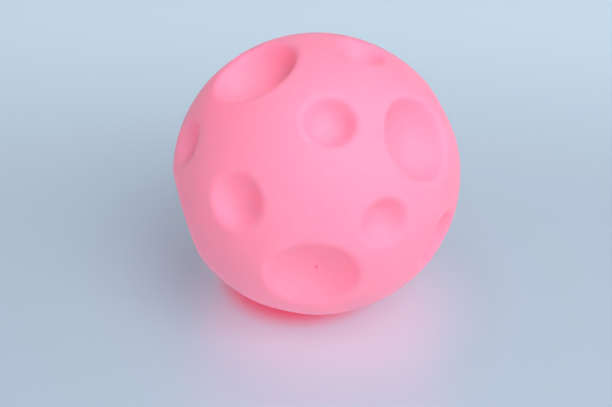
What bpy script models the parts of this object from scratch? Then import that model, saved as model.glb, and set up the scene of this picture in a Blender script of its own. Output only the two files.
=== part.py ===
"""Soft hollow ball with round craters, standing on the rim of one crater that holds a reed squeaker."""

import math

import bmesh
import bpy
import numpy as np
from mathutils import Matrix, Vector

# The ball, in metres. It is moulded round, and stands a little lower than it is wide.
BALL_RADIUS = 0.035
STANDING_RATIO = 0.974
WALL = 0.0024
LIP_BLEND = 0.0018

# Craters: degrees round from the front (-Y) towards +X, degrees up, half the angle that the rim spans, and
# the depth below the rim over the rim's radius
CRATERS = (
    (-83, 64.5, 17, 0.74),
    (110, 71.5, 9.3, 0.7),
    (8, 53.5, 9.7, 0.72),
    (58.2, 35.5, 17, 0.7),
    (-75.5, 24.7, 9.3, 0.62),
    (-33, 18, 10.6, 0.55),
    (27, 11.4, 9.2, 0.64),
    (-1, -11.7, 17.8, 0.5),
    (60, -12.3, 12, 0.68),
    (-80, -14, 17.5, 0.45),
    (42, -56, 12, 0.45),
    (-22, -57, 11, 0.45),
    (108, 20, 13, 0.55),
    (150, 41, 15, 0.55),
    (-168, 45, 9.5, 0.55),
    (-134, 37, 14, 0.55),
    (-119, 2, 11, 0.6),
    (-162, -2, 18, 0.5),
    (146, 11, 11, 0.6),
    (97, -19, 14, 0.5),
    (144, -28, 17, 0.5),
    (-172, -43, 12, 0.55),
    (-122, -40, 16, 0.5),
    (-69, -51, 9.5, 0.55),
    (106, -53, 10, 0.55),
)

# The vent pinhole, in the floor of the large crater at the front
PINHOLE_AT = (0, -17.4)
PINHOLE_RADIUS = 0.0003
PINHOLE_SIDES = 8

# The recess under the ball, from the squeaker's flange out to the ring that the ball stands on
RECESS_DEPTH = 0.0034
SEAT_MARGIN = 0.0004
RECESS_SLOPE = 0.0016
RECESS_LIP = 0.0006
FOOT_WIDTH = 0.0014

# The squeaker, from the reed's plug out to the flange
CLEARANCE = 0.0003
PLUG_RADIUS = 0.003
BODY_WALL = 0.0014
FLANGE_LAP = 0.0016
FLANGE_THICKNESS = 0.0012
FLANGE_ROUND = 0.0004
FACE_THICKNESS = 0.001
SOUND_HOLE_RADIUS = 0.0012
BARB_LAP = 0.0007
BARB_RIM = 0.0007
BARB_TAPER = 0.0018
PLENUM = 0.0008

# The reed and the two half-round pieces that hold it
WEDGE_LENGTH = 0.0043
REED_THICKNESS = 0.0003
REED_EDGE = 0.0014
REED_LAP = 0.0006
REED_FREE_LENGTH = 0.0042
REED_ROOT_LENGTH = 0.0016
REED_TIP_GAP = 0.0003
BED_END = 0.0005
CHANNEL_BACK = 0.001

# Mesh fineness: the angle between neighbouring points on the outer and on the inner skin, the rings over a
# lip on each, the spacing of a crater's other rings and of the fill as shares of that angle, and the facets
# of a full turn
OUTER_STEP = math.radians(4.8)
INNER_STEP = math.radians(9)
OUTER_LIP_RINGS = 5
INNER_LIP_RINGS = 3
RING_SPREAD = 1.3
FILL_SPREAD = 0.75
FEWEST_IN_RING = 6
SKIN_HALVINGS = 24
TURN_SIDES = 36

# Sizes that follow from those above
BORE_RADIUS = PLUG_RADIUS + CLEARANCE
NECK_RADIUS = BORE_RADIUS + BODY_WALL
MOUTH_RADIUS = NECK_RADIUS + CLEARANCE
FLANGE_RADIUS = MOUTH_RADIUS + FLANGE_LAP
SEAT_RADIUS = FLANGE_RADIUS + SEAT_MARGIN
LIP_RADIUS = SEAT_RADIUS + RECESS_SLOPE
LAND_RADIUS = LIP_RADIUS + RECESS_LIP
FOOT_RADIUS = LAND_RADIUS + FOOT_WIDTH
CENTRE_HEIGHT = STANDING_RATIO * math.sqrt(BALL_RADIUS**2 - FOOT_RADIUS**2)
LIP_ANGLE = LIP_BLEND / BALL_RADIUS
CLEAR_ANGLE = LIP_ANGLE / 3

FLANGE_TOP = RECESS_DEPTH - CLEARANCE
FACE_HEIGHT = FLANGE_TOP - FLANGE_THICKNESS
BARB_HEIGHT = RECESS_DEPTH + WALL + CLEARANCE
BODY_TOP = BARB_HEIGHT + BARB_RIM + BARB_TAPER
PLUG_BASE = FACE_HEIGHT + FACE_THICKNESS + PLENUM
REED_AXIS_HEIGHT = PLUG_BASE + WEDGE_LENGTH
REED_TIP_HEIGHT = REED_AXIS_HEIGHT + REED_FREE_LENGTH
PLUG_TOP = REED_TIP_HEIGHT + BED_END
BED_FACE = REED_THICKNESS / 2 + REED_TIP_GAP
WEDGE_FACE = REED_THICKNESS / 2 + CLEARANCE
REED_WIDTH = 2 * (math.sqrt(PLUG_RADIUS**2 - BED_FACE**2) - REED_EDGE)
CHANNEL_WIDTH = REED_WIDTH - 2 * REED_LAP
CHANNEL_DEPTH = PLUG_RADIUS - BED_FACE - CHANNEL_BACK


def clear_scene():
    for obj in list(bpy.data.objects):
        bpy.data.objects.remove(obj, do_unlink=True)


def plain_material(name, colour, roughness):
    material = bpy.data.materials.new(name)
    material.use_nodes = True
    shader = material.node_tree.nodes["Principled BSDF"]
    shader.inputs["Base Color"].default_value = (*colour, 1.0)
    shader.inputs["Roughness"].default_value = roughness
    shader.inputs["Metallic"].default_value = 0.0
    return material


def add_object(name, bm, material, location=(0.0, 0.0, 0.0), parent=None, sharp_from=40.0):
    """Makes a smooth-shaded object whose mesh was drawn round its own location."""
    bmesh.ops.recalc_face_normals(bm, faces=bm.faces)
    mesh = bpy.data.meshes.new(name)
    bm.to_mesh(mesh)
    bm.free()
    mesh.shade_smooth()
    mesh.set_sharp_from_angle(angle=math.radians(sharp_from))
    mesh.materials.append(material)
    obj = bpy.data.objects.new(name, mesh)
    bpy.context.scene.collection.objects.link(obj)
    obj.parent = parent
    obj.location = Vector(location) - (parent.location if parent else Vector())
    return obj


def direction(round_deg, up_deg):
    """A unit vector, from degrees round from -Y towards +X and degrees up."""
    turn = math.radians(round_deg)
    rise = math.radians(up_deg)
    flat = math.cos(rise)
    return np.array((math.sin(turn) * flat, -math.cos(turn) * flat, math.sin(rise)))


def circle_about(axis, angle, count):
    """Unit vectors spaced round an axis, at an angle from it."""
    helper = np.array((1.0, 0.0, 0.0)) if abs(axis[2]) > 0.9 else np.array((0.0, 0.0, 1.0))
    side = np.cross(axis, helper)
    side /= np.linalg.norm(side)
    other = np.cross(axis, side)
    turns = np.arange(count) * 2 * math.pi / count
    spokes = np.cos(turns)[:, None] * side + np.sin(turns)[:, None] * other
    return math.cos(angle) * axis + math.sin(angle) * spokes


def soft_max(first, second):
    """The larger of two heights, with the corner where they cross rounded off."""
    share = np.maximum(LIP_BLEND - np.abs(first - second), 0) / LIP_BLEND
    return np.maximum(first, second) + share**2 * LIP_BLEND / 4


class Crater:
    """A spherical dent, placed by its rim on the ball."""

    def __init__(self, round_deg, up_deg, half_angle_deg, depth_ratio):
        half_angle = math.radians(half_angle_deg)
        rim = BALL_RADIUS * math.sin(half_angle)
        depth = depth_ratio * rim
        self.axis = direction(round_deg, up_deg)
        self.dent_radius = (rim * rim + depth * depth) / (2 * depth)
        self.dent_distance = BALL_RADIUS * math.cos(half_angle) - depth + self.dent_radius

    def rim_angle(self, inset):
        """The angle from the axis at which the dent meets the ball, on the skin this far inside."""
        ball = BALL_RADIUS - inset
        dent = self.dent_radius + inset
        cosine = (ball * ball + self.dent_distance**2 - dent * dent) / (2 * ball * self.dent_distance)
        return math.acos(cosine)

    def height(self, places, inset):
        """How far places are above the dent's floor."""
        return self.dent_radius + inset - np.linalg.norm(places - self.dent_distance * self.axis, axis=1)


ALL_CRATERS = [Crater(*row) for row in CRATERS]


def height_over_skin(places, inset):
    """How far places are outside the skin that lies this far inside the ball's surface."""
    height = np.linalg.norm(places, axis=1) - (BALL_RADIUS - inset)
    for crater in ALL_CRATERS:
        height = soft_max(height, crater.height(places, inset))
    return height


def skin(towards, inset):
    """The points of the ball's skin in these directions from its centre, as it stands."""
    low = np.zeros(len(towards))
    high = np.full(len(towards), BALL_RADIUS - inset)
    for _ in range(SKIN_HALVINGS):
        middle = (low + high) / 2
        is_outside = height_over_skin(towards * middle[:, None], inset) > 0
        high = np.where(is_outside, middle, high)
        low = np.where(is_outside, low, middle)
    return towards * low[:, None] * (1, 1, STANDING_RATIO) + (0, 0, CENTRE_HEIGHT)


def direction_of(point):
    """The direction from the ball's centre, before it settled, of a point as it stands."""
    offset = np.array((point[0], point[1], (point[2] - CENTRE_HEIGHT) / STANDING_RATIO))
    return offset / np.linalg.norm(offset)


def recess_profile(inset):
    """Radius and height of the rings from the mouth to the foot ring, on the outer or the inner skin."""
    if inset == 0:
        return (
            (MOUTH_RADIUS, RECESS_DEPTH),
            (SEAT_RADIUS, RECESS_DEPTH),
            (LIP_RADIUS, RECESS_LIP),
            (LAND_RADIUS, 0.0),
            (FOOT_RADIUS, 0.0),
        )
    inner_ball = math.sqrt((BALL_RADIUS - inset) ** 2 - FOOT_RADIUS**2)
    return (
        (MOUTH_RADIUS, RECESS_DEPTH + inset),
        (SEAT_RADIUS + inset / 2, RECESS_DEPTH + inset),
        (FOOT_RADIUS, CENTRE_HEIGHT - STANDING_RATIO * inner_ball),
    )


class SkinPoints:
    """Directions of the points of one skin, each kept clear of those before it, and the places of some."""

    def __init__(self, inset, step, lip_rings):
        self.inset = inset
        self.step = step
        self.lip_rings = lip_rings
        self.towards = []
        self.fixed_places = {}
        self.closed = []

    def add(self, towards, clear=0.0):
        """Adds a point, unless it is within an angle of one that is there, or in a closed cap."""
        if clear:
            near = max(np.array(self.towards) @ towards) > math.cos(clear)
            if near or any(axis @ towards > math.cos(angle) for axis, angle in self.closed):
                return
        self.towards.append(towards)

    def add_fixed(self, directions, places):
        """Adds points that lie at these places, and returns their indices."""
        first = len(self.towards)
        for towards, place in zip(directions, places):
            self.fixed_places[len(self.towards)] = place
            self.add(towards)
        return range(first, len(self.towards))

    def add_recess(self):
        """Adds the rings of the recess, and returns the indices of the mouth's edge."""
        turns = np.arange(TURN_SIDES) * 2 * math.pi / TURN_SIDES
        rings = []
        for radius, height in recess_profile(self.inset):
            ring = [np.array((radius * math.cos(turn), radius * math.sin(turn), height)) for turn in turns]
            rings.append(self.add_fixed([direction_of(place) for place in ring], ring))
        self.closed.append((np.array((0, 0, -1)), math.asin(FOOT_RADIUS / BALL_RADIUS) + self.step / 2))
        return rings[0]

    def add_pinhole(self):
        """Adds the edge of the vent pinhole, which the hull sees wide, and returns its indices."""
        axis = direction(*PINHOLE_AT)
        floor = skin(axis[None], self.inset)[0] - (0, 0, CENTRE_HEIGHT)
        edge = circle_about(axis, math.atan(PINHOLE_RADIUS / np.linalg.norm(floor)), PINHOLE_SIDES)
        seen_angle = OUTER_STEP / 2
        self.closed.append((axis, seen_angle + CLEAR_ANGLE))
        return self.add_fixed(circle_about(axis, seen_angle, PINHOLE_SIDES), skin(edge, self.inset))

    def ring_count(self, angle):
        """How many points a ring at this angle from its axis takes."""
        return max(FEWEST_IN_RING, round(2 * math.pi * math.sin(angle) / self.step))

    def add_ring(self, axis, angle, count):
        """Adds a ring of points about an axis, less those too near to others."""
        for towards in circle_about(axis, angle, count):
            self.add(towards, clear=CLEAR_ANGLE)

    def add_craters(self):
        """Adds the middle and the rings of each crater, those over its lip in step with each other."""
        for crater in ALL_CRATERS:
            rim = crater.rim_angle(self.inset)
            floor = rim - LIP_ANGLE
            rings = max(2, round(floor / (RING_SPREAD * self.step)))
            self.add(crater.axis, clear=CLEAR_ANGLE)
            for angle in (floor * i / rings for i in range(1, rings)):
                self.add_ring(crater.axis, angle, self.ring_count(angle))
            for angle in np.linspace(floor, rim + LIP_ANGLE, self.lip_rings):
                self.add_ring(crater.axis, angle, self.ring_count(rim))

    def add_fill(self):
        """Adds evenly spread points on the round ball between the craters, on a spiral from top to bottom."""
        count = round(4 * math.pi / self.step**2)
        golden = math.pi * (3 - math.sqrt(5))
        for i in range(count):
            z = 1 - (2 * i + 1) / count
            flat = math.sqrt(1 - z * z)
            towards = np.array((flat * math.cos(i * golden), flat * math.sin(i * golden), z))
            self.add(towards, clear=FILL_SPREAD * self.step)

    def places(self):
        """The places of all the points."""
        places = skin(np.array(self.towards), self.inset)
        for index, place in self.fixed_places.items():
            places[index] = place
        return places


def add_skin(bm, inset, step, lip_rings):
    """Adds one skin of the ball to a mesh, and returns the edge loops of its two openings."""
    points = SkinPoints(inset, step, lip_rings)
    openings = [points.add_recess(), points.add_pinhole()]
    points.add_craters()
    points.add_fill()
    # The hull of the directions tells which points are neighbours
    verts = [bm.verts.new(towards) for towards in points.towards]
    bmesh.ops.convex_hull(bm, input=verts)
    for opening in openings:
        edge = {verts[i] for i in opening}
        lids = {face for vert in edge for face in vert.link_faces if edge.issuperset(face.verts)}
        bmesh.ops.delete(bm, geom=list(lids), context="FACES_ONLY")
    for vert, place in zip(verts, points.places()):
        vert.co = place
    return [[verts[i] for i in opening] for opening in openings]


def make_shell(material):
    """The hollow ball: an outer and an inner skin, joined round the mouth and round the pinhole."""
    bm = bmesh.new()
    outer = add_skin(bm, 0.0, OUTER_STEP, OUTER_LIP_RINGS)
    inner = add_skin(bm, WALL, INNER_STEP, INNER_LIP_RINGS)
    for outside, inside in zip(outer, inner):
        for i in range(len(outside)):
            j = (i + 1) % len(outside)
            bm.faces.new((outside[i], outside[j], inside[j], inside[i]))
    loose = [edge for edge in bm.edges if not edge.link_faces]
    bmesh.ops.delete(bm, geom=loose, context="EDGES")
    return add_object("ball_shell", bm, material, sharp_from=50.0)


def turned(profile, sides):
    """A solid of revolution about Z, from a closed outline of radius and height."""
    bm = bmesh.new()
    verts = [bm.verts.new((radius, 0.0, height)) for radius, height in profile]
    edges = [bm.edges.new((verts[i - 1], verts[i])) for i in range(len(verts))]
    bmesh.ops.spin(
        bm,
        geom=verts + edges,
        cent=(0, 0, 0),
        axis=(0, 0, 1),
        dvec=(0, 0, 0),
        angle=2 * math.pi,
        steps=sides,
        use_merge=True,
        use_duplicate=False,
    )
    return bm


def make_squeaker_body(material):
    """The plug that closes the mouth: flange, neck and barb outside, a bore with a sound hole inside."""
    profile = (
        (SOUND_HOLE_RADIUS, 0.0),
        (FLANGE_RADIUS - FLANGE_ROUND, 0.0),
        (FLANGE_RADIUS, FLANGE_ROUND),
        (FLANGE_RADIUS, FLANGE_TOP - FACE_HEIGHT),
        (NECK_RADIUS, FLANGE_TOP - FACE_HEIGHT),
        (NECK_RADIUS, BARB_HEIGHT - FACE_HEIGHT),
        (MOUTH_RADIUS + BARB_LAP, BARB_HEIGHT - FACE_HEIGHT),
        (MOUTH_RADIUS + BARB_LAP, BARB_HEIGHT + BARB_RIM - FACE_HEIGHT),
        (NECK_RADIUS, BODY_TOP - FACE_HEIGHT),
        (BORE_RADIUS, BODY_TOP - FACE_HEIGHT),
        (BORE_RADIUS, FACE_THICKNESS),
        (SOUND_HOLE_RADIUS, FACE_THICKNESS),
    )
    return add_object("squeaker_body", turned(profile, TURN_SIDES), material, (0, 0, FACE_HEIGHT))


def half_round(face, length):
    """The part of a round rod beyond a flat face, drawn on the +Y side and standing on Z = 0."""
    half_turn = math.acos(face / PLUG_RADIUS)
    sides = TURN_SIDES // 2
    bm = bmesh.new()
    verts = []
    for i in range(sides + 1):
        turn = half_turn * (2 * i / sides - 1)
        verts.append(bm.verts.new((PLUG_RADIUS * math.sin(turn), PLUG_RADIUS * math.cos(turn), 0.0)))
    bottom = bm.faces.new(verts)
    raised = bmesh.ops.extrude_face_region(bm, geom=[bottom])["geom"]
    tops = [item for item in raised if isinstance(item, bmesh.types.BMVert)]
    bmesh.ops.translate(bm, verts=tops, vec=(0, 0, length))
    return bm


def make_reed_bed(material, body):
    """The half-round bed that the reed beats on, with an air channel open on its flat face and lower end."""
    length = PLUG_TOP - PLUG_BASE
    bm = half_round(BED_FACE, length)
    bmesh.ops.rotate(bm, verts=bm.verts, cent=(0, 0, 0), matrix=Matrix.Rotation(math.pi, 3, "Z"))
    bed = add_object("reed_bed", bm, material, (0, 0, PLUG_BASE), body)
    channel = bmesh.new()
    bmesh.ops.create_cube(channel, size=1.0)
    channel_length = length - 2 * BED_END
    size = (CHANNEL_WIDTH, 2 * CHANNEL_DEPTH, 2 * channel_length)
    bmesh.ops.scale(channel, verts=channel.verts, vec=size)
    cutter = add_object("channel_cutter", channel, material, (0, -BED_FACE, PLUG_BASE), body)
    cutter.hide_render = True
    cutter.display_type = "WIRE"
    cut = bed.modifiers.new("air_channel", "BOOLEAN")
    cut.operation = "DIFFERENCE"
    cut.solver = "EXACT"
    cut.object = cutter


def make_reed_wedge(material, body):
    """The half-round wedge that closes the bore beside the bed and holds the reed's root."""
    add_object("reed_wedge", half_round(WEDGE_FACE, WEDGE_LENGTH), material, (0, 0, PLUG_BASE), body)


def make_reed(material, body):
    """The thin reed, with a round tip, drawn round the line across it where its free part starts."""
    bm = bmesh.new()
    half = REED_WIDTH / 2
    outline = [(-half, -REED_ROOT_LENGTH), (half, -REED_ROOT_LENGTH)]
    for i in range(TURN_SIDES // 2 + 1):
        turn = math.pi * i / (TURN_SIDES // 2)
        outline.append((half * math.cos(turn), REED_FREE_LENGTH - half + half * math.sin(turn)))
    verts = [bm.verts.new((x, -REED_THICKNESS / 2, z)) for x, z in outline]
    face = bm.faces.new(verts)
    raised = bmesh.ops.extrude_face_region(bm, geom=[face])["geom"]
    backs = [item for item in raised if isinstance(item, bmesh.types.BMVert)]
    bmesh.ops.translate(bm, verts=backs, vec=(0, REED_THICKNESS, 0))
    add_object("squeaker_reed", bm, material, (0, 0, REED_AXIS_HEIGHT), body)


def main():
    clear_scene()
    make_shell(plain_material("soft_pink_vinyl", (0.95, 0.33, 0.5), 0.45))
    body = make_squeaker_body(plain_material("white_plastic", (0.86, 0.86, 0.84), 0.4))
    make_reed_bed(plain_material("ivory_plastic", (0.8, 0.77, 0.68), 0.45), body)
    make_reed_wedge(plain_material("grey_plastic", (0.62, 0.63, 0.64), 0.45), body)
    make_reed(plain_material("clear_film", (0.75, 0.82, 0.86), 0.25), body)


main()
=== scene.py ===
# %% [markdown]
# # A soft ball with craters
#
# The object is a hollow ball of soft pink vinyl, small enough for an infant's two hands. Round
# craters of mixed sizes cover it, and one of them, underneath, holds a little reed squeaker. The
# packed model already has every piece at its real size and place. This script gives each piece
# the surface and the finish of the real thing. The packed model comes first, because every later
# step takes its place from it.

# %% Load the packed model
import math

import bmesh
import bpy
import numpy as np
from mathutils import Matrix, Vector


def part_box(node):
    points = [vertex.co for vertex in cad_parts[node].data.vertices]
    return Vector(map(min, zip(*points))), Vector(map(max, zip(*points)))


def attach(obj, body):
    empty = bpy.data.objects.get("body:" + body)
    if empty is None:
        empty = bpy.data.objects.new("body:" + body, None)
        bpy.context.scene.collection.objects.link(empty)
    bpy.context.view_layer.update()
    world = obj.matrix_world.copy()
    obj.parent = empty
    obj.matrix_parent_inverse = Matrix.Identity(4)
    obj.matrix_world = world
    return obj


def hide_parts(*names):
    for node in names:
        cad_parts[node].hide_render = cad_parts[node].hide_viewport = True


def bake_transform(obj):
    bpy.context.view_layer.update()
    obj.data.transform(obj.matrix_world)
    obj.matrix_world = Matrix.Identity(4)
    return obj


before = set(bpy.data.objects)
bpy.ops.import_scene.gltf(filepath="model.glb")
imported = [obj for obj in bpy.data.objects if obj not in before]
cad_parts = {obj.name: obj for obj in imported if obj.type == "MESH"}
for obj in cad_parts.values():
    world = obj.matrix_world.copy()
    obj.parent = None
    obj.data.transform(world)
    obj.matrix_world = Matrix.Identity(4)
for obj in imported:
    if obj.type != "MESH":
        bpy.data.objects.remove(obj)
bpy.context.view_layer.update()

# %% [markdown]
# ## The ball's own measures
#
# The ball was moulded round, and under its own weight it stands a little lower than it is wide.
# All lengths are in metres. The craters are listed as a globe lists its towns: degrees round from
# the front towards the right, degrees up, half the angle that the rim spans as seen from the
# ball's centre, and the depth as a share of the rim's radius. The list is the same as in the
# solid model, so the skin that is drawn here lies on the solid's.

# %% Measures of the ball
BALL_RADIUS = 0.035
STANDING_RATIO = 0.974
WALL = 0.0024
LIP_BLEND = 0.0018
CRATERS = (
    (-83, 64.5, 17, 0.74),
    (110, 71.5, 9.3, 0.7),
    (8, 53.5, 9.7, 0.72),
    (58.2, 35.5, 17, 0.7),
    (-75.5, 24.7, 9.3, 0.62),
    (-33, 18, 10.6, 0.55),
    (27, 11.4, 9.2, 0.64),
    (-1, -11.7, 17.8, 0.5),
    (60, -12.3, 12, 0.68),
    (-80, -14, 17.5, 0.45),
    (42, -56, 12, 0.45),
    (-22, -57, 11, 0.45),
    (108, 20, 13, 0.55),
    (150, 41, 15, 0.55),
    (-168, 45, 9.5, 0.55),
    (-134, 37, 14, 0.55),
    (-119, 2, 11, 0.6),
    (-162, -2, 18, 0.5),
    (146, 11, 11, 0.6),
    (97, -19, 14, 0.5),
    (144, -28, 17, 0.5),
    (-172, -43, 12, 0.55),
    (-122, -40, 16, 0.5),
    (-69, -51, 9.5, 0.55),
    (106, -53, 10, 0.55),
)
PINHOLE_AT = (0, -17.4)
PINHOLE_RADIUS = 0.0003
shell_low, shell_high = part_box("ball_shell")
print("craters:", len(CRATERS), "shell in mm:", [round(1000 * side, 1) for side in shell_high - shell_low])

# %% [markdown]
# ## The recess under the ball
#
# The ball stands on a narrow flat ring. Inside it a recess climbs to a flat seat, where the
# squeaker's flange closes the mouth. These sizes are read from the squeaker's own node, so that
# the drawn recess always fits it.

# %% Measures of the recess
CLEARANCE = 0.0003
SEAT_MARGIN = 0.0004
RECESS_SLOPE = 0.0016
RECESS_LIP = 0.0006
FOOT_WIDTH = 0.0014
FLANGE_LAP = 0.0016
FLANGE_THICKNESS = 0.0012
squeaker_low, squeaker_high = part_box("squeaker_body")
FLANGE_RADIUS = squeaker_high.x
MOUTH_RADIUS = FLANGE_RADIUS - FLANGE_LAP
SEAT_RADIUS = FLANGE_RADIUS + SEAT_MARGIN
LAND_RADIUS = SEAT_RADIUS + RECESS_SLOPE + RECESS_LIP
FOOT_RADIUS = LAND_RADIUS + FOOT_WIDTH
RECESS_DEPTH = squeaker_low.z + FLANGE_THICKNESS + CLEARANCE
CENTRE_HEIGHT = STANDING_RATIO * math.sqrt(BALL_RADIUS**2 - FOOT_RADIUS**2)
print(f"mouth {2000 * MOUTH_RADIUS:.1f} mm, foot ring {2000 * FOOT_RADIUS:.1f} mm")
print(f"the ball's centre is {1000 * CENTRE_HEIGHT:.2f} mm up")

# %% [markdown]
# ## The camera
#
# The picture was taken from the front and from above, from about five ball widths away. A
# picture's perspective depends only on where the camera stands, so its place comes first and the
# lens second. The focal length is written in pixels, because that can be measured in a picture,
# and is then turned into millimetres. The ball sits a little right of and above the picture's
# middle: the camera is turned for that.

# %% Camera
PICTURE_WIDTH = 612
PICTURE_HEIGHT = 407
FOCAL_PIXELS = 1430
CAMERA_UP = math.radians(33)
CAMERA_DISTANCE = 10 * BALL_RADIUS
BALL_PIXEL = (316.4, 173.6)
SENSOR_WIDTH = 36.0
NEAREST_SHOWN = 0.01


def add_object(name, data):
    """Puts a new object into the scene."""
    obj = bpy.data.objects.new(name, data)
    bpy.context.scene.collection.objects.link(obj)
    return obj


def on_picture(point):
    """The pixel at which the camera shows a point."""
    local = camera.matrix_world.inverted() @ Vector(point)
    scale = FOCAL_PIXELS / -local.z
    return PICTURE_WIDTH / 2 + scale * local.x, PICTURE_HEIGHT / 2 - scale * local.y


ball_centre = Vector((0, 0, CENTRE_HEIGHT))
lens = bpy.data.cameras.new("camera")
lens.sensor_width = SENSOR_WIDTH
lens.lens = FOCAL_PIXELS / PICTURE_WIDTH * SENSOR_WIDTH
lens.clip_start = NEAREST_SHOWN
camera = add_object("camera", lens)
towards_camera = Vector((0, -math.cos(CAMERA_UP), math.sin(CAMERA_UP)))
camera.location = ball_centre + CAMERA_DISTANCE * towards_camera
tilt = math.atan((PICTURE_HEIGHT / 2 - BALL_PIXEL[1]) / FOCAL_PIXELS)
turn = math.atan((BALL_PIXEL[0] - PICTURE_WIDTH / 2) / FOCAL_PIXELS) / math.cos(CAMERA_UP + tilt)
camera.rotation_euler = (math.pi / 2 - CAMERA_UP - tilt, 0, turn)
bpy.context.scene.camera = camera
bpy.context.view_layer.update()
print("the ball's centre is at pixel", [round(x, 1) for x in on_picture(ball_centre)])

# %% [markdown]
# ## Expressions for shaders
#
# A finish is a small sum: a base colour, plus a bit of mottling, times how worn a lip is. Written
# as nodes, such a sum is long. The class below wraps a node's output and overloads Python's
# operators, so that `1 - lip * 0.3` adds the Math nodes by itself.

# %% Sums of sockets
class Socket:
    """A node's output that takes part in Python expressions. Each operation adds a Math node."""

    def __init__(self, finish, output):
        self.finish = finish
        self.output = output

    def maths(self, operation, first, second):
        return self.finish.node("ShaderNodeMath", {"operation": operation}, {0: first, 1: second})

    def __add__(self, other):
        return self.maths("ADD", self, other)

    def __sub__(self, other):
        return self.maths("SUBTRACT", self, other)

    def __rsub__(self, other):
        return self.maths("SUBTRACT", other, self)

    def __mul__(self, other):
        return self.maths("MULTIPLY", self, other)

    __radd__ = __add__
    __rmul__ = __mul__


print("operators for shader sums:", [name for name in vars(Socket) if name.startswith("__r")])

# %% [markdown]
# ## A finish under construction
#
# A material is a tree of nodes round one shader, and so is the world. The class below holds that
# tree. Every node comes from its one method `node`, which takes the node's type, its settings,
# and what goes into its sockets. A socket takes a plain value or a link in the same way, so a
# finish reads as a list of what it is made of.

# %% Finish class
class Finish:
    """A material or a world under construction, round the shader that it starts with."""

    def __init__(self, owner, shader="Principled BSDF"):
        owner.use_nodes = True
        self.owner = owner
        self.tree = owner.node_tree
        self.shader = self.tree.nodes[shader]

    def feed(self, socket, value):
        if isinstance(value, Socket):
            self.tree.links.new(value.output, socket)
        else:
            socket.default_value = value

    def node(self, kind, settings=None, inputs=None, output=0):
        """Adds a node and sets its settings first, then its sockets. Returns one of its outputs."""
        made = self.tree.nodes.new(kind)
        for name, value in (settings or {}).items():
            setattr(made, name, value)
        for name, value in (inputs or {}).items():
            self.feed(made.inputs[name], value)
        return Socket(self, made.outputs[output])

    def shade(self, **values):
        """Sets the shader's own sockets, which are named here with _ for each space."""
        for name, value in values.items():
            self.feed(self.shader.inputs[name.replace("_", " ")], value)


print("a finish can", [name for name in vars(Finish) if not name.startswith("_")])

# %% [markdown]
# ## Textures that every finish shares
#
# Moulded plastic is never one even colour. Three things break it up: a slow cloudiness from the
# mixing of the pigment, a fine grain from the blasted mould, and stray flecks. All three are
# noise in the space of the object, so they need no unwrapping and have their real size in metres.

# %% Noise helpers
MIX_COLOUR_A = 6
MIX_COLOUR_B = 7
MIX_COLOUR_RESULT = 2


def noise(finish, size, detail=2.0):
    """Cloudy noise between 0 and 1, with lumps of about this size in metres."""
    place = finish.node("ShaderNodeTexCoord", output="Object")
    return finish.node("ShaderNodeTexNoise", None, {"Vector": place, "Scale": 1 / size, "Detail": detail})


def mix_colours(finish, share, first, second):
    """A colour on the way from the first to the second."""
    inputs = {0: share, MIX_COLOUR_A: first, MIX_COLOUR_B: second}
    return finish.node("ShaderNodeMix", {"data_type": "RGBA"}, inputs, MIX_COLOUR_RESULT)


def bumped(finish, height, distance, strength=1.0, under=None):
    """A normal that follows a height between 0 and 1, which stands for this distance in metres."""
    inputs = {"Height": height, "Distance": distance, "Strength": strength}
    if under:
        inputs["Normal"] = under
    return finish.node("ShaderNodeBump", None, inputs)


def smooth_step(finish, value, start, end):
    """0 up to the start, 1 from the end, and a soft slope between them."""
    soft = {"interpolation_type": "SMOOTHSTEP"}
    return finish.node("ShaderNodeMapRange", soft, {0: value, 1: start, 2: end})


print("noise is laid out in metres, in each object's own space")

# %% [markdown]
# ## Pink vinyl
#
# Soft vinyl is a cloudy body with a matt skin. Light goes some way into it, red light furthest,
# and comes out beside where it went in. That is why the craters' shaded walls glow red and don't
# turn grey. Paint alone can't do that, so the shader scatters light under the surface, with a
# longer way for red than for green and blue. A faint sheen stands for the powdery bloom that
# pales soft vinyl towards its edges. Three values that the mesh will carry at each vertex join
# in: `lip` says where hands polish the skin, `hollow` where it stays dull and where the pink is
# painted slightly lighter as painted light, and `vent` where the pinhole is, whose wall is painted
# a darker pink as painted shade. A few dark flecks are specks in the pigment.

# %% Pink vinyl
PINK = (0.985, 0.285, 0.455, 1.0)
CLOUD_PINK = (0.98, 0.272, 0.438, 1.0)
# Painted light: the crater hollows get a slightly lighter pink.
HOLLOW_BOUNCE_PINK = (0.99, 0.298, 0.462, 1.0)
FLECK_COLOUR = (0.62, 0.12, 0.2, 1.0)
# Painted shade: the pinhole's wall gets a darker pink.
VENT_SHADE_COLOUR = (0.88, 0.24, 0.385, 1.0)
SCATTER_RADIUS = (15.0, 0.9, 1.4)
SCATTER_SCALE = 0.001
BLOOM_TINT = (0.75, 0.95, 1.0, 1.0)
FLECK_SPACING = 0.012
FLECK_RADIUS = 0.0003
CLOUD_SIZE = 0.014
SWELL_SIZE = 0.009
SWELL_HEIGHT = 0.0003
GRAIN_SIZE = 0.0007
GRAIN_HEIGHT = 0.00004


def painted(finish, name):
    """The value that the mesh carries at each vertex under this name."""
    return finish.node("ShaderNodeAttribute", {"attribute_name": name}, output="Fac")


def flecks(finish):
    """1 in a few small specks, one to a cell of this spacing at most, and 0 between them."""
    place = finish.node("ShaderNodeTexCoord", output="Object")
    away = finish.node("ShaderNodeTexVoronoi", None, {"Vector": place, "Scale": 1 / FLECK_SPACING})
    edge = FLECK_RADIUS / FLECK_SPACING
    return 1 - smooth_step(finish, away, edge / 2, edge)


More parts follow.
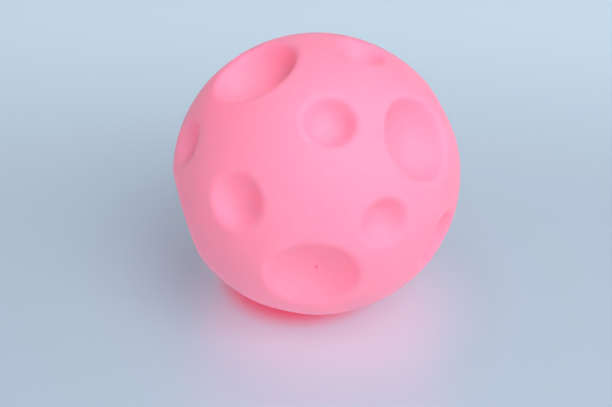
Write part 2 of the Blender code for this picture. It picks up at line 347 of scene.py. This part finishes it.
def pink_vinyl():
    finish = Finish(bpy.data.materials.new("pink_vinyl"))
    cloud = noise(finish, CLOUD_SIZE)
    grain = noise(finish, GRAIN_SIZE, 3.0)
    swell = noise(finish, SWELL_SIZE, 1.0)
    lip = painted(finish, "lip")
    hollow = painted(finish, "hollow")
    colour = mix_colours(finish, cloud, PINK, CLOUD_PINK)
    # Painted light: the hollows turn a slightly lighter pink.
    colour = mix_colours(finish, hollow, colour, HOLLOW_BOUNCE_PINK)
    colour = mix_colours(finish, 0.5 * flecks(finish), colour, FLECK_COLOUR)
    # Painted shade: the pinhole's wall turns a darker pink.
    colour = mix_colours(finish, painted(finish, "vent"), colour, VENT_SHADE_COLOUR)
    relief = bumped(finish, swell, SWELL_HEIGHT, 0.2)
    finish.shade(
        Base_Color=colour,
        Roughness=0.5 + 0.1 * cloud + 0.06 * grain + 0.05 * hollow - 0.06 * lip,
        Normal=bumped(finish, grain, GRAIN_HEIGHT, 0.3, relief),
        IOR=1.5,
        Specular_IOR_Level=0.3,
        Sheen_Weight=0.1,
        Sheen_Roughness=0.4,
        Sheen_Tint=BLOOM_TINT,
        Subsurface_Weight=1.0,
        Subsurface_Radius=SCATTER_RADIUS,
        Subsurface_Scale=SCATTER_SCALE,
    )
    finish.shader.subsurface_method = "BURLEY"
    return finish.owner


vinyl = pink_vinyl()
print(vinyl.name, "has", len(vinyl.node_tree.nodes), "nodes")

# %% [markdown]
# ## The skin's shape
#
# Each crater is a dent pressed by a smaller sphere. The wall is what is left: a place is in it
# when it is inside the ball and outside every dent. Heights above a surface say that in numbers:
# the larger of the height over the ball and the height over a dent's floor is positive outside
# the wall. A plain maximum would leave a knife edge round each crater, so it is rounded off where
# the two cross, and that makes the soft lip. The inside of the wall follows the same rule, with
# every sphere moved by the wall's thickness.

# %% Heights over the skin
def direction(round_deg, up_deg):
    """A unit vector, from degrees round from the front (-Y) towards +X and degrees up."""
    turn = math.radians(round_deg)
    rise = math.radians(up_deg)
    return np.array((math.sin(turn) * math.cos(rise), -math.cos(turn) * math.cos(rise), math.sin(rise)))


def lip_share(first, second):
    """How near two heights are to each other: 1 where they cross, and 0 beyond the lip."""
    return np.maximum(LIP_BLEND - np.abs(first - second), 0) / LIP_BLEND


def soft_max(first, second):
    """The larger of two heights, with the corner where they cross rounded off."""
    return np.maximum(first, second) + lip_share(first, second) ** 2 * LIP_BLEND / 4


def ball_height(places, inset):
    """How far places are above the round ball."""
    return np.linalg.norm(places, axis=1) - (BALL_RADIUS - inset)


def dent_height(places, inset, crater):
    """How far places are above the floor of a crater's dent."""
    round_deg, up_deg, half_angle_deg, depth_ratio = crater
    half_angle = math.radians(half_angle_deg)
    rim = BALL_RADIUS * math.sin(half_angle)
    depth = depth_ratio * rim
    dent = (rim**2 + depth**2) / (2 * depth)
    middle = (BALL_RADIUS * math.cos(half_angle) - depth + dent) * direction(round_deg, up_deg)
    return dent + inset - np.linalg.norm(places - middle, axis=1)


def skin_height(places, inset):
    """How far places are outside the skin that lies this far inside the ball's surface."""
    height = ball_height(places, inset)
    for crater in CRATERS:
        height = soft_max(height, dent_height(places, inset, crater))
    return height


above_front = skin_height(direction(0, 0)[None] * 2 * BALL_RADIUS, 0.0)[0]
print(f"one radius in front of the ball the height is {1000 * above_front:.1f} mm")

# %% [markdown]
# ## Finding the skin
#
# The skin lies where the height is zero. Along any line from the centre there is one such place:
# the search starts with the whole line, and keeps the half that holds the change from inside to
# outside. After two dozen halvings what is left is far below a micrometre. All the lines are
# halved at once, as one array. At the end the round ball is set down to its standing height.

# %% Skin
SKIN_HALVINGS = 24


def skin(towards, inset=0.0):
    """Points of the standing ball's skin in these directions from its centre."""
    low = np.zeros(len(towards))
    high = np.full(len(towards), BALL_RADIUS - inset)
    for _ in range(SKIN_HALVINGS):
        middle = (low + high) / 2
        is_outside = skin_height(towards * middle[:, None], inset) > 0
        high = np.where(is_outside, middle, high)
        low = np.where(is_outside, low, middle)
    return towards * low[:, None] * (1, 1, STANDING_RATIO) + (0, 0, CENTRE_HEIGHT)


crater_floors = skin(np.array([direction(*crater[:2]) for crater in CRATERS]))
floor_drops = [BALL_RADIUS - (Vector(floor) - ball_centre).length for floor in crater_floors]
print(f"the craters are {1000 * min(floor_drops):.1f} to {1000 * max(floor_drops):.1f} mm deep")

# %% [markdown]
# ## A cube blown up to a ball
#
# A globe's mesh has two poles where its faces crowd together, and one of them would show on the
# crown. A cube that is divided finely and blown up to a ball has faces of nearly one size
# everywhere. Its bottom face is left off, because the ball's underside is turned.

# %% Blown cube
def open_edges(bm):
    return [edge for edge in bm.edges if len(edge.link_faces) == 1]


def blown_cube(cells):
    """Unit directions of a cube's five upper faces, each divided into this many cells a side."""
    bm = bmesh.new()
    bmesh.ops.create_cube(bm, size=2)
    bottom = [face for face in bm.faces if face.normal.z < -0.5]
    bmesh.ops.delete(bm, geom=bottom, context="FACES_ONLY")
    bmesh.ops.subdivide_edges(bm, edges=bm.edges[:], cuts=cells - 1, use_grid_fill=True)
    for vert in bm.verts:
        vert.co = Vector([math.tan(x * math.pi / 4) for x in vert.co]).normalized()
    return bm


coarse = blown_cube(4)
print("a blown cube with 4 cells a side has", len(coarse.faces), "faces")
coarse.free()

# %% [markdown]
# ## Rings down to the mouth
#
# From the cube's open edge the mesh goes on in rings: in even steps down to the ring that the
# ball stands on, then up the recess and to the mouth. Each ring is the last one extruded, so the
# square edge of the cube turns round bit by bit, and no seam is left.

# %% Rings
def next_ring(bm, place):
    """Extrudes the open edge by one ring, and moves each new vertex to where place() sends it."""
    made = bmesh.ops.extrude_edge_only(bm, edges=open_edges(bm))["geom"]
    for vert in made:
        if isinstance(vert, bmesh.types.BMVert):
            vert.co = place(vert.co)


def lower_ball(bm, foot_angle, rings):
    """Goes on from the cube's open edge in even steps down to the foot ring."""
    for left in range(rings, 0, -1):
        def step(co):
            polar = math.acos(max(-1, co.z))
            polar += (math.pi - foot_angle - polar) / left
            flat = Vector((co.x, co.y)).normalized() * math.sin(polar)
            return Vector((flat.x, flat.y, math.cos(polar)))

        next_ring(bm, step)


def add_turned_rings(bm, profile):
    """Goes on from the open edge with turned rings of these radii and heights."""
    for radius, height in profile:
        next_ring(bm, lambda co: Vector((*(Vector((co.x, co.y)).normalized() * radius), height)))


def skin_mesh(cells, rings, inset, profile):
    """One skin of the ball, from its crown to the mouth."""
    bm = blown_cube(cells)
    inner = BALL_RADIUS - inset
    lower_ball(bm, math.asin(FOOT_RADIUS / inner), rings)
    places = skin(np.array([vert.co for vert in bm.verts]), inset)
    for vert, place in zip(bm.verts, places):
        vert.co = place
    add_turned_rings(bm, profile)
    return bm


foot_angle = math.degrees(math.asin(FOOT_RADIUS / BALL_RADIUS))
print(f"the rings end {foot_angle:.1f} degrees from the ball's lowest point")

# %% [markdown]
# ## The recess, in section
#
# The recess climbs from the foot ring in a soft S, as a mould's core would leave it, to the flat
# seat. At the mouth the edge is rounded and the wall's thickness shows.

# %% Recess profiles
SLOPE_STEPS = 10
SEAT_STEPS = 4
MOUTH_ROUND = 0.0003
ROUND_STEPS = 4


def outer_profile():
    points = [(FOOT_RADIUS - FOOT_WIDTH / 2, 0.0)]
    for i in range(SLOPE_STEPS + 1):
        share = i / SLOPE_STEPS
        rise = RECESS_DEPTH * (1 - math.cos(math.pi * share)) / 2
        points.append((LAND_RADIUS + (SEAT_RADIUS - LAND_RADIUS) * share, rise))
    rounding = MOUTH_RADIUS + MOUTH_ROUND
    for i in range(1, SEAT_STEPS):
        points.append((SEAT_RADIUS + (rounding - SEAT_RADIUS) * i / SEAT_STEPS, RECESS_DEPTH))
    for i in range(ROUND_STEPS + 1):
        turn = math.pi / 2 * i / ROUND_STEPS
        rise = MOUTH_ROUND * (1 - math.cos(turn))
        points.append((rounding - MOUTH_ROUND * math.sin(turn), RECESS_DEPTH + rise))
    return points


def inner_profile():
    seat = RECESS_DEPTH + WALL
    return [(SEAT_RADIUS + WALL / 2, seat), (MOUTH_RADIUS, seat)]


print("the recess has", len(outer_profile()), "rings outside and", len(inner_profile()), "inside")

# %% [markdown]
# ## The pinhole
#
# A vent pinhole, under a millimetre wide, lies in the floor of the large crater at the front. It
# has to be a real hole. A small block of faces is taken out around it, and rings lead from the
# block's square edge to the round edge of the hole and down into the wall.

# %% Pinhole
PINHOLE_RINGS = ((1.9, 0.0), (1.35, 0.00001), (1.1, 0.00008), (1.0, 0.0003))


def new_verts(made):
    return [item for item in made if isinstance(item, bmesh.types.BMVert)]


def on_skin(point, inset):
    """The point of a skin that lies beyond or before this one, as seen from the ball's centre."""
    towards = np.array(point - ball_centre) / (1, 1, STANDING_RATIO)
    return Vector(skin(towards[None] / np.linalg.norm(towards), inset)[0])


def open_pinhole(bm, inset, grow, rings):
    """Opens the pinhole in one skin, with rings of these radii (over its own) and depths."""
    axis = direction(*PINHOLE_AT)
    floor = Vector(skin(axis[None], inset)[0])
    nearest = min(bm.verts, key=lambda vert: (vert.co - floor).length)
    block = set(nearest.link_faces)
    for _ in range(grow):
        block |= {face for vert in {v for f in block for v in f.verts} for face in vert.link_faces}
    rim = [edge for edge in bm.edges if len(block.intersection(edge.link_faces)) == 1]
    bmesh.ops.delete(bm, geom=list(block), context="FACES")
    inwards = (ball_centre - floor).normalized()
    for radius, depth in rings:
        made = bmesh.ops.extrude_edge_only(bm, edges=rim)["geom"]
        for vert in new_verts(made):
            away = vert.co - floor
            away -= inwards * away.dot(inwards)
            vert.co = on_skin(floor + away.normalized() * PINHOLE_RADIUS * radius, inset) + inwards * depth
        rim = [e for e in made if isinstance(e, bmesh.types.BMEdge) and len(e.link_faces) == 1]


print(f"pinhole {2000 * PINHOLE_RADIUS:.1f} mm wide")

# %% [markdown]
# ## Meshes that carry values
#
# A mesh can hold a number at each vertex, and a finish can read it. The craters' lips and hollows
# are known from the same heights that shaped the skin, so they are worked out once here, and the
# finish needs no painted picture.

# %% Values for the finish
FULL_HOLLOW = 0.004
VENT_SPREAD = 1.2


def mesh_object(name, bm, material, sharp_from=40.0):
    bmesh.ops.recalc_face_normals(bm, faces=bm.faces)
    mesh = bpy.data.meshes.new(name)
    bm.to_mesh(mesh)
    bm.free()
    mesh.shade_smooth()
    mesh.set_sharp_from_angle(angle=math.radians(sharp_from))
    mesh.materials.append(material)
    return add_object(name, mesh)


def paint(mesh, name, values):
    """Stores a value at each vertex of a mesh, for its finish to read."""
    layer = mesh.attributes.new(name, "FLOAT", "POINT")
    layer.data.foreach_set("value", np.asarray(values, dtype=np.float32))


def paint_lips(mesh):
    """Stores each vertex's nearness to a lip, its depth in a crater, and whether it is in the pinhole."""
    places = np.array([vert.co for vert in mesh.vertices]) - (0, 0, CENTRE_HEIGHT)
    places /= (1, 1, STANDING_RATIO)
    height = ball_height(places, 0.0)
    shares = [lip_share(height, dent_height(places, 0.0, crater)) for crater in CRATERS]
    paint(mesh, "lip", np.max(shares, axis=0))
    paint(mesh, "hollow", np.clip(-height / FULL_HOLLOW, 0, 1))
    axis = direction(*PINHOLE_AT)
    aside = np.linalg.norm(places - np.outer(places @ axis, axis), axis=1)
    paint(mesh, "vent", (aside < VENT_SPREAD * PINHOLE_RADIUS) & (places @ axis > 0))


print(f"a hollow counts in full from {1000 * FULL_HOLLOW:.0f} mm down")

# %% [markdown]
# ## The shell
#
# The two skins are made with the same functions, the outer one finely and the inner one coarsely,
# because only the squeaker sees it. Bridges at the mouth and at the pinhole join them into one
# closed wall.

# %% Shell
OUTER_CELLS = 104
OUTER_RINGS = 46
INNER_CELLS = 26
INNER_RINGS = 12


def join_skins(outer, inner):
    """Adds the inner skin's mesh to the outer one's."""
    scratch = bpy.data.meshes.new("inner_skin")
    inner.to_mesh(scratch)
    outer.from_mesh(scratch)
    bpy.data.meshes.remove(scratch)
    inner.free()


def edge_loops(bm):
    """The mesh's open edges, sorted into those of the mouth and those of the pinhole."""
    mouth = [e for e in open_edges(bm) if e.verts[0].co.xy.length < FOOT_RADIUS]
    pinhole = [e for e in open_edges(bm) if e.verts[0].co.xy.length >= FOOT_RADIUS]
    return mouth, pinhole


outer = skin_mesh(OUTER_CELLS, OUTER_RINGS, 0.0, outer_profile())
open_pinhole(outer, 0.0, 1, PINHOLE_RINGS)
inner = skin_mesh(INNER_CELLS, INNER_RINGS, WALL, inner_profile())
open_pinhole(inner, WALL, 0, ((1.0, 0.0),))
join_skins(outer, inner)
for loop in edge_loops(outer):
    bmesh.ops.bridge_loops(outer, edges=loop)
print("open edges left in the shell:", len(open_edges(outer)))
shell = mesh_object("crater_skin", outer, vinyl)
paint_lips(shell.data)
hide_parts("ball_shell")
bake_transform(shell)
print("shell faces:", len(shell.data.polygons))

# %% [markdown]
# ## The squeaker's plastics
#
# Three hard plastics and a film make up the squeaker. Each is moulded, so each has a faint
# cloudiness in its colour, a satin roughness that isn't quite even, and the fine grain of its
# mould. They differ in colour and in how glossy they are, so one function makes them all.

# %% Plastics
PLASTIC_CLOUD_SIZE = 0.003
PLASTIC_GRAIN_SIZE = 0.0003
PLASTIC_GRAIN_HEIGHT = 0.00001


def moulded_plastic(name, colour, shade, roughness, coat=0.0):
    """A satin plastic that clouds from one colour towards another."""
    finish = Finish(bpy.data.materials.new(name))
    cloud = noise(finish, PLASTIC_CLOUD_SIZE)
    grain = noise(finish, PLASTIC_GRAIN_SIZE, 3.0)
    finish.shade(
        Base_Color=mix_colours(finish, cloud, colour, shade),
        Roughness=roughness + 0.12 * cloud + 0.05 * grain,
        Normal=bumped(finish, grain, PLASTIC_GRAIN_HEIGHT, 0.4),
        Coat_Weight=coat,
    )
    return finish.owner


white_plastic = moulded_plastic("squeaker_white", (0.86, 0.86, 0.84, 1.0), (0.8, 0.79, 0.76, 1.0), 0.34)
ivory_plastic = moulded_plastic("bed_ivory", (0.8, 0.77, 0.68, 1.0), (0.74, 0.7, 0.59, 1.0), 0.4)
grey_plastic = moulded_plastic("wedge_grey", (0.62, 0.63, 0.64, 1.0), (0.55, 0.56, 0.58, 1.0), 0.42)
reed_film = moulded_plastic("film_cloudy", (0.75, 0.82, 0.86, 1.0), (0.68, 0.76, 0.82, 1.0), 0.2, 0.5)
print("plastics:", [m.name for m in (white_plastic, ivory_plastic, grey_plastic, reed_film)])

# %% [markdown]
# ## The squeaker's body
#
# The body is a turned shape: a flange that closes the mouth, a neck, and a barb that snaps behind
# the wall. A turned shape is known by one half of its section, so its corners are listed once, as
# radius and height. The face that shows under the ball has a shallow ring, as a moulder's ejector
# sleeve leaves, and the sound hole.

# %% Squeaker section
PLUG_RADIUS = 0.003
BODY_WALL = 0.0014
FACE_THICKNESS = 0.001
SOUND_HOLE_RADIUS = 0.0012
BARB_LAP = 0.0007
BARB_RIM = 0.0007
RING_RADIUS = 0.0043
RING_WIDTH = 0.0007
RING_DEPTH = 0.00025
BORE_RADIUS = PLUG_RADIUS + CLEARANCE
NECK_RADIUS = BORE_RADIUS + BODY_WALL
BARB_HEIGHT = RECESS_DEPTH + WALL + CLEARANCE


def body_outline():
    """Radius and height of the corners of the squeaker's body, round its section."""
    face = squeaker_low.z
    flange_top = face + FLANGE_THICKNESS
    top = squeaker_high.z
    barb = MOUTH_RADIUS + BARB_LAP
    return (
        (SOUND_HOLE_RADIUS, face),
        (RING_RADIUS - RING_WIDTH / 2, face),
        (RING_RADIUS - RING_WIDTH / 4, face + RING_DEPTH),
        (RING_RADIUS + RING_WIDTH / 4, face + RING_DEPTH),
        (RING_RADIUS + RING_WIDTH / 2, face),
        (FLANGE_RADIUS, face),
        (FLANGE_RADIUS, flange_top),
        (NECK_RADIUS, flange_top),
        (NECK_RADIUS, BARB_HEIGHT),
        (barb, BARB_HEIGHT),
        (barb, BARB_HEIGHT + BARB_RIM),
        (NECK_RADIUS, top),
        (BORE_RADIUS, top),
        (BORE_RADIUS, face + FACE_THICKNESS),
        (SOUND_HOLE_RADIUS, face + FACE_THICKNESS),
    )


print("the squeaker's section has", len(body_outline()), "corners")

# %% [markdown]
# ## Rounding and turning
#
# A moulded edge is never sharp, so each corner of the section is swapped for a short curve before
# it is spun. The curve is drawn between three points, one before the corner, the corner itself
# and one after it. A bevel on the finished mesh could do the same, but it would have to find the
# edges again.

# %% Squeaker body
EDGE_ROUND = 0.0002
EDGE_STEPS = 4
TURN_SIDES = 96


def rounded(corners, size, steps):
    """A closed outline with each corner swapped for a short curve that starts this far before it."""
    points = []
    for i, corner in enumerate(corners):
        corner = Vector(corner)
        before = Vector(corners[i - 1]) - corner
        after = Vector(corners[(i + 1) % len(corners)]) - corner
        start = corner + before.normalized() * min(size, before.length / 3)
        end = corner + after.normalized() * min(size, after.length / 3)
        for step in range(steps + 1):
            share = step / steps
            points.append(start.lerp(corner, share).lerp(corner.lerp(end, share), share))
    return points


def turned(outline, sides):
    """The mesh of a closed outline of radius and height, spun once round Z."""
    bm = bmesh.new()
    verts = [bm.verts.new((point.x, 0, point.y)) for point in outline]
    edges = [bm.edges.new((verts[i - 1], verts[i])) for i in range(len(verts))]
    bmesh.ops.spin(
        bm,
        geom=verts + edges,
        cent=(0, 0, 0),
        axis=(0, 0, 1),
        angle=2 * math.pi,
        steps=sides,
        use_merge=True,
    )
    return bm


section = rounded(body_outline(), EDGE_ROUND, EDGE_STEPS)
body = mesh_object("reed_housing", turned(section, TURN_SIDES), white_plastic)
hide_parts("squeaker_body")
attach(body, "squeaker")
print("housing faces:", len(body.data.polygons))

# %% [markdown]
# ## The reed and its holders
#
# Only a glint of the reed shows, through the sound hole. The two half-round holders and the strip
# between them already have their true shapes in the packed model, so these three keep their
# meshes and only take a finish.

# %% Reed and holders
plastics = {"reed_bed": ivory_plastic, "reed_wedge": grey_plastic, "squeaker_reed": reed_film}
for node, plastic in plastics.items():
    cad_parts[node].material_slots[0].material = plastic
    print(node, "is finished in", plastic.name)

# %% [markdown]
# ## The floor
#
# The floor is a pale, smooth table top with a little gloss, so that the ball shows dimly in it.
# Its colour pales towards the back, as a painted reflection. Light that soaks through the soft
# vinyl reddens the table round the foot, and leaves a pink blush in front of it. The vinyl's
# shader scatters light near the surface only and doesn't send it through to the table, so both
# are laid on the table as a faint glow, by distance from a middle, over a fainter even glow on the
# rest of the table. Round the foot the table's own colour is also a dark red, as a painted contact
# shadow. Only the eye and mirror images see the table. Other light passes it, so that the
# surround can light the ball from below. From underneath it lets the view through to the squeaker.

# %% Floor
# Painted reflection: the table's colour pales from the near colour to the far one.
NEAR_COLOUR = (0.34, 0.42, 0.51, 1.0)
FAR_COLOUR = (0.53, 0.67, 0.77, 1.0)
PALE_FROM = 0.02
PALE_TO = 0.16
FILL_COLOUR = (0.1, 0.13, 0.16, 1.0)
BLUSH_COLOUR = (0.28, 0.21, 0.26, 1.0)
BLUSH_MIDDLE = (0.004, -0.008, 0.0)
BLUSH_RADII = (0.018, 0.042)
CONTACT_COLOUR = (0.38, 0.0, 0.015, 1.0)
# Painted contact shadow: a dark red in the table's colour round the foot.
CONTACT_SHADE = (0.4, 0.15, 0.22, 1.0)
CONTACT_MIDDLE = (-0.004, 0.002, 0.0)
CONTACT_RADII = (0.015, 0.0235)
HAZE_SIZE = 0.05
FLOOR_SIZE = 3.0
FLOOR_DROP = 0.0001


def distance(finish, place, middle):
    """How far a place is from a middle."""
    return finish.node("ShaderNodeVectorMath", {"operation": "DISTANCE"}, {0: place, 1: middle}, "Value")


def table_top():
    finish = Finish(bpy.data.materials.new("table_top"))
    place = finish.node("ShaderNodeTexCoord", output="Object")
    backwards = finish.node("ShaderNodeSeparateXYZ", None, {0: place}, "Y")
    # Painted reflection: paler towards the back.
    far = smooth_step(finish, backwards, PALE_FROM, PALE_TO)
    beyond_blush = smooth_step(finish, distance(finish, place, BLUSH_MIDDLE), *BLUSH_RADII)
    beyond_contact = smooth_step(finish, distance(finish, place, CONTACT_MIDDLE), *CONTACT_RADII)
    colour = mix_colours(finish, far, NEAR_COLOUR, FAR_COLOUR)
    glow = mix_colours(finish, beyond_blush, BLUSH_COLOUR, FILL_COLOUR)
    glow = mix_colours(finish, beyond_contact, CONTACT_COLOUR, glow)
    haze = noise(finish, HAZE_SIZE)
    finish.shade(
        # Painted contact shadow round the foot, over a colour that pales towards the back as a painted
        # reflection.
        Base_Color=mix_colours(finish, beyond_contact, CONTACT_SHADE, colour),
        Roughness=0.29 + 0.05 * haze,
        IOR=2.3,
        Emission_Color=glow,
        Emission_Strength=1.0,
    )
    back = finish.node("ShaderNodeNewGeometry", output="Backfacing")
    seen = finish.node("ShaderNodeLightPath", output="Is Camera Ray")
    mirrored = finish.node("ShaderNodeLightPath", output="Is Glossy Ray")
    clear = finish.node("ShaderNodeBsdfTransparent")
    solid = Socket(finish, finish.shader.outputs[0])
    shown = (1 - back) * (seen + mirrored)
    mixed = finish.node("ShaderNodeMixShader", None, {0: shown, 1: clear, 2: solid})
    finish.feed(finish.tree.nodes["Material Output"].inputs["Surface"], mixed)
    return finish.owner


floor_bm = bmesh.new()
bmesh.ops.create_grid(floor_bm, x_segments=1, y_segments=1, size=FLOOR_SIZE / 2)
floor = mesh_object("floor", floor_bm, table_top())
floor.location.z = shell_low.z - FLOOR_DROP
print(f"the floor is {FLOOR_SIZE:.0f} m wide")

# %% [markdown]
# ## The surround
#
# A pale, even surround fills the shadows. Its lower half is lighter than its upper half: it
# stands for the light that a pale table top throws back at the ball from below. A soft step at
# the horizon joins the two.

# %% Surround
COOL_WHITE = (0.99, 0.99, 1.04, 1.0)
LEVEL_ABOVE = 0.28
LEVEL_BELOW = 0.84
HORIZON_BLUR = 0.1


def pale_surround():
    """An even white surround, which is lighter below the table's height, as a pale table top is."""
    finish = Finish(bpy.data.worlds.new("pale_surround"), "Background")
    place = finish.node("ShaderNodeTexCoord", output="Generated")
    up = finish.node("ShaderNodeSeparateXYZ", None, {0: place}, "Z")
    levels = {0: up, 1: -HORIZON_BLUR, 2: HORIZON_BLUR, 3: LEVEL_BELOW, 4: LEVEL_ABOVE}
    level = finish.node("ShaderNodeMapRange", None, levels)
    finish.shade(Color=COOL_WHITE, Strength=level)
    return finish.owner


bpy.context.scene.world = pale_surround()
print("surround levels:", LEVEL_ABOVE, "above and", LEVEL_BELOW, "below")

# %% [markdown]
# ## The lamps
#
# One large soft lamp from the front right models the craters, and one from above lights their
# floors. A low wide one from the front and a weak one from the right keep the near side and the
# right edge from sinking. Each row of the list is a name, degrees round from the front, degrees
# up, the lamp's size in metres, and the level that it adds to a white surface that faces it. The
# view transform is the plain one, so that colours come out as they are written.

# %% Lamps
LAMP_DISTANCE = 0.9
LAMPS = (
    ("key_lamp", 38, 48, 0.6, 0.61),
    ("top_lamp", 0, 88, 0.8, 0.38),
    ("front_lamp", 0, 12, 1.2, 0.25),
    ("right_lamp", 85, 30, 0.8, 0.14),
)


def soft_lamp(name, round_deg, up_deg, size, level):
    """A square lamp that looks at the ball, and adds this level to a white surface that faces it."""
    data = bpy.data.lights.new(name, "AREA")
    data.size = size
    data.energy = level * (math.pi * LAMP_DISTANCE) ** 2
    lamp = add_object(name, data)
    lamp.location = ball_centre + Vector(direction(round_deg, up_deg)) * LAMP_DISTANCE
    lamp.rotation_euler = (ball_centre - lamp.location).to_track_quat("-Z", "Y").to_euler()


for lamp in LAMPS:
    soft_lamp(*lamp)
bpy.context.scene.view_settings.view_transform = "Standard"

# %% [markdown]
# ## The ball's size
#
# The drawn ball must be the size of the solid one.
